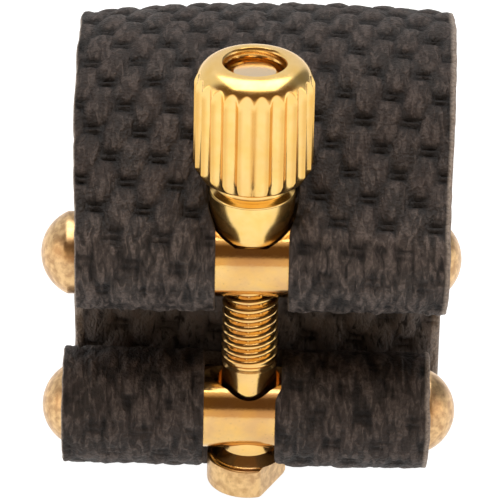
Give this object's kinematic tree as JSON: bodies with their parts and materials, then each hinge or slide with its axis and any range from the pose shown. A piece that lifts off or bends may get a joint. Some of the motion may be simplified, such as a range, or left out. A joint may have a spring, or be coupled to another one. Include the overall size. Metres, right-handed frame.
{
  "type": "saxophone ligature",
  "caption": "Leather saxophone ligature: an embossed band looped round two brass rods, closed by one screw with a fluted thumb nut.",
  "frame": {"origin": "centre of the ring that goes round the mouthpiece, midway between the two rods in height", "axes": "+X along the mouthpiece, -Y towards the screw side, +Z along the clamp screw towards the thumb nut"},
  "size_m": [0.0286, 0.0338, 0.037],
  "materials": {
    "embossed_leather": "black-brown leather embossed with a basket weave, dull sheen",
    "gold_brass": "polished, gold-coloured plating, lightly tarnished on the rods"
  },
  "bodies": {
    "lower_half": {"lower_strap": "embossed_leather", "lower_rod": "gold_brass", "clamp_stud": "gold_brass"},
    "upper_half": {"upper_strap": "embossed_leather", "inner_tongue": "embossed_leather"},
    "upper_rod_body": {"upper_rod": "gold_brass"},
    "nut": {"thumb_nut": "gold_brass"}
  },
  "joints": [
    {"name": "band_flex", "type": "hinge", "parent": "lower_half", "child": "upper_half", "pos_m": [0, 0.0156, 0.005], "axis": [1, 0, 0], "range_deg": [-2.75, 6.87]},
    {"name": "rod_swivel", "type": "hinge", "parent": "upper_half", "child": "upper_rod_body", "pos_m": [0, -0.0136, 0.00603], "axis": [1, 0, 0], "range_deg": [-6.9, 2.8]},
    {"name": "nut_turn", "type": "hinge", "parent": "upper_rod_body", "child": "nut", "pos_m": [0, -0.0136, 0.0143], "axis": [0, 0, -1], "range_deg": [-722, 1802]}
  ],
  "couplings": [
    {"joint": "rod_swivel", "follows": "band_flex", "ratio": -1},
    {"joint": "nut_turn", "follows": "band_flex", "ratio": 262.1}
  ]
}
